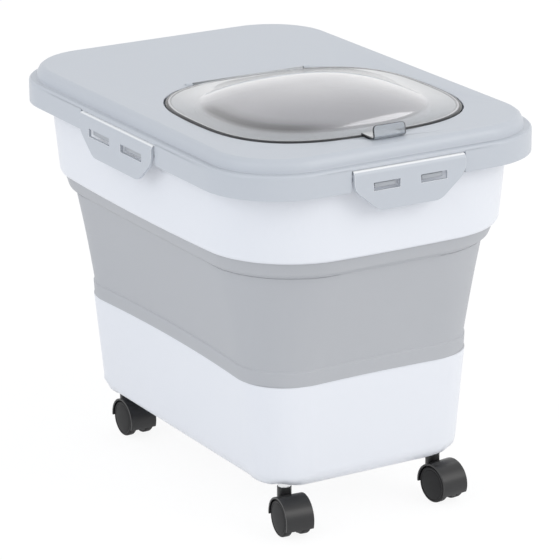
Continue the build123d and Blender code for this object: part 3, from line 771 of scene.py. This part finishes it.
FINISH_OF_SLOT = {
    "white_plastic": WHITE,
    "lid_plastic": LID_GREY,
    "grey_soft": SOFT_GREY,
    "clear_plastic": CLEAR,
    "seal_rubber": SEAL,
    "black_plastic": BLACK,
    "plated_steel": CHROME,
    "steel": STEEL,
}


def finish_nodes():
    """Each CAD node gets the finish of its slot."""
    for part in frame["record"]["subparts"]:
        node = node_object(part["node"])
        material = FINISH_OF_SLOT[part["material_slot"]]
        if node.material_slots:
            for slot in node.material_slots:
                slot.material = material
        else:
            node.data.materials.append(material)


def folding_wall():
    """Soft wall when open: lip, hollow panel and step, hung between the tub and the ring."""
    low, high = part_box("folding_wall")
    seam_z = low[2]
    fold_z = seam_z + SOFT_LIP
    mid_z = fold_z + MID_SHARE * SOFT_PANEL
    step_z = fold_z + SOFT_PANEL - STEP_DROP
    ring_z = fold_z + SOFT_PANEL + SOFT_STEP
    collar = (high[0] - low[0]) / 2
    fold_half = SEAM_HALF + LIP_BATTER
    step_half = fold_half + PANEL_BATTER
    mid_half = fold_half + MID_SHARE * PANEL_BATTER - PANEL_HOLLOW
    run, run_z = collar - RUN_IN, ring_z - RUN_BELOW
    brow, brow_z = step_half + BROW_OUT, step_z + BROW_RISE
    sunk, sunk_corner = step_half - STEP_HOLLOW, STEP_CORNER - STEP_HOLLOW
    outer = [
        (SEAM_HALF, SEAM_CORNER, seam_z, WAIST_BOW, 0),
        (fold_half, FOLD_CORNER, fold_z, WAIST_BOW, CRISP_EASE),
        (fold_half - LEDGE, FOLD_CORNER - LEDGE, fold_z + LEDGE, WAIST_BOW, CRISP_EASE),
        (mid_half, MID_CORNER, mid_z, WAIST_BOW / 2, PANEL_EASE),
        (sunk, sunk_corner, step_z - LEDGE, 0, CRISP_EASE),
        (step_half, STEP_CORNER, step_z, 0, STEP_EASE),
        (brow, BROW_CORNER, brow_z, BROW_BOW, BROW_EASE),
        (run, COLLAR_CORNER, run_z, COLLAR_BOW, CRISP_EASE),
        (collar, COLLAR_CORNER, ring_z + COLLAR_FOOT, COLLAR_BOW, SOFT_EASE),
        (collar, COLLAR_CORNER, high[2], COLLAR_BOW, 0),
    ]
    lining = COLLAR_CORNER - SOFT_WALL
    inner = [
        (collar - SOFT_WALL, lining, high[2], COLLAR_BOW, 0),
        (collar - SOFT_WALL, lining, ring_z + LINING_FOOT, COLLAR_BOW, SOFT_EASE),
        (run - SOFT_WALL, lining, ring_z + LINING_RUN, COLLAR_BOW, SOFT_EASE),
        (brow - SOFT_WALL, BROW_CORNER - SOFT_WALL, brow_z + SOFT_WALL / 2, 0, BROW_EASE),
        (step_half - SOFT_WALL, STEP_CORNER - SOFT_WALL, step_z + SOFT_WALL / 2, 0, SOFT_EASE),
        (sunk - SOFT_WALL, sunk_corner - SOFT_WALL, step_z, 0, SOFT_EASE),
        (mid_half - SOFT_WALL, MID_CORNER - SOFT_WALL, mid_z, WAIST_BOW / 2, PANEL_EASE),
        (SEAM_HALF - SOFT_WALL, SEAM_CORNER - SOFT_WALL, fold_z, WAIST_BOW, CRISP_EASE),
        (SEAM_HALF - SOFT_WALL, SEAM_CORNER - SOFT_WALL, seam_z, WAIST_BOW, 0),
    ]
    rings = [wall_ring(*level) for level in eased(outer) + eased(inner)]
    wall = piece("soft_wall", skin(rings, loop=True), SOFT_GREY)
    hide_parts("folding_wall")
    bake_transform(wall, "tub", "ring", start=(0, 0, fold_z), end=(0, 0, step_z))
    return wall


def body_of_node(node):
    """Body that a CAD node belongs to."""
    bodies = frame["record"]["behaviour"]["bodies"]
    return next(body for body, nodes in bodies.items() if node in nodes)


def slot_of_node(node):
    """Material slot of a CAD node."""
    parts = frame["record"]["subparts"]
    return next(part["material_slot"] for part in parts if part["node"] == node)


def settled(made):
    """The piece with its modifiers worked into its mesh."""
    bpy.context.view_layer.update()
    graph = bpy.context.evaluated_depsgraph_get()
    shown = made.evaluated_get(graph)
    mesh = bpy.data.meshes.new_from_object(shown, preserve_all_data_layers=True, depsgraph=graph)
    made.modifiers.clear()
    made.data = mesh
    return made


def edges_rounded(shape, edge):
    """Real edges of a shape lightly rounded, and the roundings marked for painted light unless they look
    down.
    """
    flat, real = radians(FLAT_ANGLE), radians(EDGE_ANGLE)
    bmesh.ops.dissolve_limit(shape, angle_limit=flat, verts=shape.verts, edges=shape.edges)
    layers = shape.faces.layers.float
    marks = layers.get("marked") or layers.new("marked")
    rounding = bmesh.ops.bevel(
        shape,
        geom=[line for line in shape.edges if line.is_manifold and line.calc_face_angle() > real],
        offset=edge,
        segments=EDGE_STEPS,
        profile=0.5,
        affect="EDGES",
        clamp_overlap=True,
    )
    for face in rounding["faces"]:
        face.normal_update()
        face[marks] = max(face[marks], 1 if face.normal.z > DOWNWARD else 0)


def finished_part(node, edge=0, reshape=None):
    """Piece from a merged copy of a CAD node: reshaped, edges rounded, round faces smooth."""
    mesh = node_object(node).data.copy()
    shape = bmesh.new()
    shape.from_mesh(mesh)
    bmesh.ops.remove_doubles(shape, verts=shape.verts, dist=WELD)
    if reshape:
        reshape(shape)
    if edge:
        edges_rounded(shape, edge)
    shape.to_mesh(mesh)
    shape.free()
    mesh.materials.clear()
    slot = slot_of_node(node)
    made = piece(node + "_finished", mesh, FINISH_OF_SLOT[slot])
    made.data.shade_smooth()
    made.data.set_sharp_from_angle(angle=radians(CREASE_ANGLE))
    even = made.modifiers.new("even shading", "WEIGHTED_NORMAL")
    even.keep_sharp = True
    settled(made)
    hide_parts(node)
    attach(made, body_of_node(node))
    return made


def hatch():
    """Clear hatch: dome, beaded rim, rounded edge and turned-down flange, with tab and barrel."""
    low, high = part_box("hatch_cover")
    half_x = (high[0] - low[0]) / 2
    front = low[1] + TAB_REACH
    top = high[2] - DOME_HEIGHT
    hinge_y, hinge_z = high[1] - HATCH_BARREL, low[2] + HATCH_BARREL
    half_y = (hinge_y - front) / 2
    centre_y = front + half_y
    under = top - HATCH_PLATE
    rings, domed, foot, cut = [], [], [], []

    def at_hinge(point):
        barrel_end = HATCH_BARREL_LENGTH / 2
        along = 1 - ramp(abs(point.x), barrel_end - HINGE_ASIDE, barrel_end)
        return along * ramp((point.y - centre_y) / half_y, *HINGE_BACK)

    # Weight of the painted shade at the dome's front left foot
    def front_left(point):
        x, y = point.x, point.y - centre_y
        across = (FRONT_LEFT_X * y - FRONT_LEFT_Y * x) / DOME_HALF_X
        along = (FRONT_LEFT_X * x + FRONT_LEFT_Y * y) / DOME_HALF_Y
        return ramp(along, *CRESCENT_ALONG) * (1 - ramp(across, *CRESCENT_ACROSS))

    # A rim ring's edge value is painted shade along the hatch's edge, faded out at the hinge
    def rim(inset, z, edge=0, tint=0):
        ring = oval(half_x - inset, half_y - inset, HATCH_POWER, centre_y, z)
        rings.append(ring)
        domed.append(tint)
        foot.append(0)
        cut.append([edge * (1 - at_hinge(point)) for point in ring])

    def dome(share, wall):
        height = top - wall + (DOME_HEIGHT - wall / 2) * (1 - share ** DOME_FULLNESS)
        reach_x, reach_y = (DOME_HALF_X - wall) * share, (DOME_HALF_Y - wall) * share
        ring = oval(reach_x, reach_y, DOME_POWER, centre_y, height)
        rings.append(ring)
        domed.append(1 if share < 1 else 0.5)
        # Painted shade near the dome's foot, on its front left side only
        depth = ramp(share, *CRESCENT_RISE) * (1 - ramp(share, *CRESCENT_FALL))
        foot.append([depth * front_left(point) for point in ring])
        cut.append(0)

    for share in DOME_SHARES:
        dome(share, 0)
    for inset, rise, tint, edge in RIM_PROFILE:
        rim(inset * MM, top + rise * MM, edge, tint)
    for step in range(HATCH_EDGE_STEPS + 1):
        turn = radians(90 * step / HATCH_EDGE_STEPS)
        rim(HATCH_EDGE * (1 - sin(turn)), top - HATCH_EDGE * (1 - cos(turn)), 1)
    rim(0, under - HATCH_FLANGE, 1)
    rim(COVER_WALL, under - HATCH_FLANGE, 1)
    rim(COVER_WALL, under)
    for share in DOME_SHARES[::-1]:
        dome(share, COVER_WALL)
    mesh = skin(rings, cap_first=True, cap_last=True)
    shell = piece("hatch_shell", marked(mesh, rings, domed=domed, foot=foot, cut=cut), CLEAR)
    pieces = [shell, thumb_tab(front, top), hinge_barrel(hinge_y, hinge_z)]
    for made in pieces:
        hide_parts("hatch_cover")
        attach(made, "hatch")
    return pieces


def thumb_tab(front, top):
    """Tongue over the lid's notch that turns up into a rounded thumb plate."""
    start_z = top + TAB_WALL / 2 - TAB_SINK
    foot = front - TAB_OUT
    bend_y = foot + TAB_BEND
    path = [Vector((front + TAB_INSIDE, start_z)), Vector((bend_y, start_z))]
    for step in range(1, TAB_BEND_STEPS + 1):
        turn = radians(90 * step / TAB_BEND_STEPS)
        bent = (foot + TAB_BEND * (1 - sin(turn)), start_z + TAB_BEND * (1 - cos(turn)))
        path.append(Vector(bent))
    end = Vector((foot + TAB_LEAN, start_z + TAB_UP))
    bend = path[-1]
    straight = (end - bend).length - TAB_ROUND
    way = (end - bend).normalized()
    widths = [TAB_HALF] * len(path)
    for step in range(TAB_ROUND_STEPS + 1):
        turn = radians(TAB_ROUND_TURN * step / TAB_ROUND_STEPS)
        path.append(bend + way * (straight + TAB_ROUND * sin(turn)))
        widths.append(TAB_HALF - TAB_ROUND * (1 - cos(turn)))
    section = TAB_FACE + [(side, -depth) for side, depth in TAB_FACE[::-1]]
    rings, cut = [], []
    for index, (point, half) in enumerate(zip(path, widths)):
        before, after = path[max(index - 1, 0)], path[min(index + 1, len(path) - 1)]
        along = (after - before).normalized()
        out = Vector((-along.y, along.x)) * TAB_WALL / 2
        places = [(TAB_X + half * side, *(point + out * depth)) for side, depth in section]
        rings.append([Vector(place) for place in places])
        # Painted shade along the tab's sides and at its top end
        at_end = index >= len(path) - TAB_SHADE_RINGS
        cut.append([1 if at_end or abs(side) > TAB_SHADE_SIDE else 0 for side, _ in section])
    mesh = skin(rings, cap_first=True, cap_last=True)
    return piece("hatch_tab", marked(mesh, rings, cut=cut), CLEAR)


def hinge_barrel(y, z):
    """Barrel of the hatch on its hinge pin, bored, with rounded ends."""
    half = HATCH_BARREL_LENGTH / 2
    outline = [
        (-half, PIN_BORE),
        (-half, HATCH_BARREL - BARREL_ROUND),
        (-half + BARREL_ROUND, HATCH_BARREL),
    ]
    outline += [(-x, radius) for x, radius in outline[::-1]]
    turns = [2 * pi * step / BARREL_STEPS for step in range(BARREL_STEPS)]
    rings = []
    for x, radius in outline:
        places = [(x, y + radius * cos(turn), z + radius * sin(turn)) for turn in turns]
        rings.append([Vector(place) for place in places])
    return piece("hatch_barrel", skin(rings, loop=True), CLEAR)


def wheel_tree():
    """Geometry of one caster wheel round Z: rounded tread, web, and a bulged cover on each face."""
    tree = bpy.data.node_groups.new("caster wheel", "GeometryNodeTree")
    for label in ("Radius", "Width", "Tread", "Edge Round", "Cover Bulge"):
        tree.interface.new_socket(label, in_out="INPUT", socket_type="NodeSocketFloat")
    tree.interface.new_socket("Material", in_out="INPUT", socket_type="NodeSocketMaterial")
    tree.interface.new_socket("Geometry", in_out="OUTPUT", socket_type="NodeSocketGeometry")
    nodes, links = tree.nodes, tree.links
    given = nodes.new("NodeGroupInput").outputs

    def made(kind, mode=None, **inputs):
        node = nodes.new(kind)
        if mode:
            node.mode = mode
        for label, value in inputs.items():
            socket = node.inputs[label.replace("_", " ")]
            if isinstance(value, bpy.types.NodeSocket):
                links.new(value, socket)
            else:
                socket.default_value = value
        return node

    def worked(operation, first, second):
        node = nodes.new("ShaderNodeMath")
        node.operation = operation
        for socket, value in zip(node.inputs, (first, second)):
            if isinstance(value, bpy.types.NodeSocket):
                links.new(value, socket)
            else:
                socket.default_value = value
        return node.outputs[0]

    labels = ("Radius", "Width", "Tread", "Cover Bulge")
    radius, width, tread, bulge = (given[label] for label in labels)
    section = made("GeometryNodeCurvePrimitiveQuadrilateral", Width=tread, Height=width)
    rounded = made(
        "GeometryNodeFilletCurve",
        "POLY",
        Curve=section.outputs[0],
        Radius=given["Edge Round"],
        Count=WHEEL_EDGE_STEPS,
        Limit_Radius=True,
    )
    path_radius = worked("SUBTRACT", radius, worked("MULTIPLY", tread, 0.5))
    path = made("GeometryNodeCurvePrimitiveCircle", Resolution=WHEEL_STEPS, Radius=path_radius)
    tyre = made(
        "GeometryNodeCurveToMesh",
        Curve=path.outputs[0],
        Profile_Curve=rounded.outputs[0],
    )
    web_radius = worked("SUBTRACT", radius, tread)
    web_radius = worked("ADD", web_radius, worked("MULTIPLY", tread, WEB_SHARE))
    web_depth = worked("SUBTRACT", width, bulge)
    web = made(
        "GeometryNodeMeshCylinder",
        Vertices=WHEEL_STEPS,
        Radius=web_radius,
        Depth=web_depth,
    )
    ball = made(
        "GeometryNodeMeshUVSphere",
        Segments=WHEEL_STEPS,
        Rings=WHEEL_COVER_RINGS,
        Radius=1.0,
    )
    joined = nodes.new("GeometryNodeJoinGeometry")
    links.new(tyre.outputs[0], joined.inputs[0])
    links.new(web.outputs["Mesh"], joined.inputs[0])
    for side in (-1, 1):
        size = nodes.new("ShaderNodeCombineXYZ")
        place = nodes.new("ShaderNodeCombineXYZ")
        for axis in (0, 1):
            links.new(web_radius, size.inputs[axis])
        links.new(bulge, size.inputs[2])
        links.new(worked("MULTIPLY", web_depth, side * 0.5), place.inputs[2])
        cover = made(
            "GeometryNodeTransform",
            Geometry=ball.outputs["Mesh"],
            Translation=place.outputs[0],
            Scale=size.outputs[0],
        )
        links.new(cover.outputs[0], joined.inputs[0])
    smooth = made("GeometryNodeSetShadeSmooth", Geometry=joined.outputs[0])
    whole = made("GeometryNodeRealizeInstances", Geometry=smooth.outputs[0])
    painted = made("GeometryNodeSetMaterial", Geometry=whole.outputs[0], Material=given["Material"])
    links.new(painted.outputs[0], nodes.new("NodeGroupOutput").inputs[0])
    return tree


def caster_wheels():
    """The eight wheels, from one geometry tree, each set on the axle of its spin joint."""
    tree = wheel_tree()
    values = {
        "Width": WHEEL_WIDTH,
        "Tread": WHEEL_TREAD,
        "Edge Round": WHEEL_EDGE,
        "Cover Bulge": WHEEL_BULGE,
        "Material": WHEEL_BLACK,
    }
    sockets = [item for item in tree.interface.items_tree if item.in_out == "INPUT"]
    labels = {socket.name: socket.identifier for socket in sockets}
    for joint in frame["record"]["behaviour"]["joints"]:
        if not joint["name"].startswith("spin_"):
            continue
        node = joint["name"].replace("spin_", "caster_wheel_")
        low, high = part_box(node)
        wheel = bpy.data.objects.new(node + "_turned", bpy.data.meshes.new(node + "_turned"))
        bpy.context.collection.objects.link(wheel)
        shaping = wheel.modifiers.new("caster wheel", "NODES")
        shaping.node_group = tree
        for label, value in {"Radius": (high[2] - low[2]) / 2, **values}.items():
            shaping[labels[label]] = value
        settled(wheel)
        axis, centre = Vector(joint["axis"]), Vector(joint["pos_m"])
        middle = Vector([(first + last) / 2 for first, last in zip(low, high)])
        outward = axis if (middle - centre).dot(axis) > 0 else -axis
        turn = outward.to_track_quat("Z", "Y").to_matrix().to_4x4()
        wheel.data.transform(Matrix.Translation(centre + outward * WHEEL_OFFSET) @ turn)
        wheel.data.set_sharp_from_angle(angle=radians(CREASE_ANGLE))
        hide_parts(node)
        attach(wheel, joint["child"])


def seen_directly(tree):
    """Mask that is 1 where the camera, a mirror or clear plastic looks at the studio."""
    nodes, links = tree.nodes, tree.links
    path = nodes.new("ShaderNodeLightPath")
    straight = nodes.new("ShaderNodeMath")
    straight.operation = "MAXIMUM"
    either = nodes.new("ShaderNodeMath")
    either.operation = "MAXIMUM"
    links.new(path.outputs["Is Camera Ray"], straight.inputs[0])
    links.new(path.outputs["Is Transmission Ray"], straight.inputs[1])
    links.new(straight.outputs[0], either.inputs[0])
    links.new(path.outputs["Is Glossy Ray"], either.inputs[1])
    return either.outputs[0]


def pale_floor():
    """Matt floor that shows white, with the bin's shadow kept faint."""
    material = bpy.data.materials.new("pale floor")
    material.use_nodes = True
    nodes, links = material.node_tree.nodes, material.node_tree.links
    shader = nodes["Principled BSDF"]
    shader.inputs["Base Color"].default_value = (FLOOR_WHITE, FLOOR_WHITE, FLOOR_WHITE, 1)
    shader.inputs["Roughness"].default_value = FLOOR_ROUGHNESS
    glow = nodes.new("ShaderNodeEmission")
    glow.inputs["Strength"].default_value = FLOOR_GLOW
    shade = nodes.new("ShaderNodeBsdfDiffuse")
    shade.inputs["Color"].default_value = (FLOOR_SHADE, FLOOR_SHADE, FLOOR_SHADE, 1)
    white = nodes.new("ShaderNodeAddShader")
    mix = nodes.new("ShaderNodeMixShader")
    links.new(glow.outputs[0], white.inputs[0])
    links.new(shade.outputs[0], white.inputs[1])
    links.new(seen_directly(material.node_tree), mix.inputs["Fac"])
    links.new(shader.outputs[0], mix.inputs[1])
    links.new(white.outputs[0], mix.inputs[2])
    links.new(mix.outputs[0], nodes["Material Output"].inputs["Surface"])
    return material


def studio():
    """Pale floor and an even pale world, both white where they are seen."""
    bpy.ops.mesh.primitive_plane_add(size=FLOOR_SIZE, location=(0, 0, 0))
    floor = bpy.context.object
    floor.name = "studio_floor"
    floor.data.materials.append(pale_floor())
    world = bpy.data.worlds.new("studio")
    bpy.context.scene.world = world
    world.use_nodes = True
    nodes, links = world.node_tree.nodes, world.node_tree.links
    sky = nodes["Background"]
    sky.inputs["Color"].default_value = (*WORLD_TINT, 1)
    sky.inputs["Strength"].default_value = WORLD_LIGHT
    seen = nodes.new("ShaderNodeBackground")
    seen.inputs["Color"].default_value = (1, 1, 1, 1)
    mix = nodes.new("ShaderNodeMixShader")
    links.new(seen_directly(world.node_tree), mix.inputs["Fac"])
    links.new(sky.outputs[0], mix.inputs[1])
    links.new(seen.outputs[0], mix.inputs[2])
    links.new(mix.outputs[0], nodes["World Output"].inputs["Surface"])


def lamp(name, place, aim, size, power, colour, width=None, roll=0):
    """Soft lamp aimed at a point: square, or a strip with a width and a turn about its aim."""
    light = bpy.data.lights.new(name, "AREA")
    light.size = size
    if width:
        light.shape = "RECTANGLE"
        light.size_y = width
    light.energy = power
    light.color = colour
    made = bpy.data.objects.new(name, light)
    bpy.context.collection.objects.link(made)
    made.location = place
    aimed = (Vector(aim) - Vector(place)).to_track_quat("-Z", "Y").to_matrix()
    made.rotation_euler = (aimed @ Matrix.Rotation(radians(roll), 3, "Z")).to_euler()


def camera():
    """Camera at the photograph's place, turned to the photograph's view."""
    turn, rise = radians(VIEW_TURN), radians(VIEW_RISE)
    back = Vector((sin(turn) * cos(rise), -cos(turn) * cos(rise), sin(rise)))
    lens = bpy.data.cameras.new("view")
    lens.lens = VIEW_LENS
    lens.sensor_width = VIEW_SENSOR
    lens.shift_x = VIEW_SHIFT_X
    lens.shift_y = VIEW_SHIFT_Y
    lens.clip_end = VIEW_END
    made = bpy.data.objects.new("view", lens)
    bpy.context.collection.objects.link(made)
    made.location = Vector((0, 0, VIEW_HEIGHT)) + back * VIEW_DISTANCE
    aimed = (-back).to_track_quat("-Z", "Y").to_matrix()
    made.rotation_euler = (aimed @ Matrix.Rotation(radians(VIEW_ROLL), 3, "Z")).to_euler()
    bpy.context.scene.camera = made


finish_nodes()
folding_wall()
finished_part("lid_panel", reshape=lid_softened)
finished_part("upper_ring", reshape=lugs_shade_marked)
hatch()
finished_part("lower_tub", reshape=fuller_tub_corners)
for side in LATCH_SIDES:
    finished_part("latch_" + side, edge=LATCH_EDGE, reshape=top_highlight_marked)
# Caster parts; the hoods' rounded edges take painted shade
for part in frame["record"]["subparts"]:
    node = part["node"]
    if node.startswith("caster_") and "wheel" not in node:
        finished_part(node, edge=HOOD_EDGE if "hood" in node else 0)
caster_wheels()
studio()
lamp(
    "front lamp",
    place=(1.6, -2.4, 1.8),
    aim=BIN_MIDDLE,
    size=1.8,
    power=24,
    colour=(1.0, 0.985, 0.96),
)
lamp(
    "side lamp",
    place=(-2.6, -0.4, 1.5),
    aim=BIN_MIDDLE,
    size=1.8,
    power=13,
    colour=(0.90, 0.94, 1.0),
)
lamp(
    "strip lamp",
    place=(1.12, 0.66, 1.73),
    aim=HATCH_FRONT,
    size=1.0,
    power=0.9,
    colour=(1.0, 1.0, 1.0),
    width=0.15,
    roll=-93,
)
camera()
bpy.context.scene.view_settings.view_transform = "Standard"
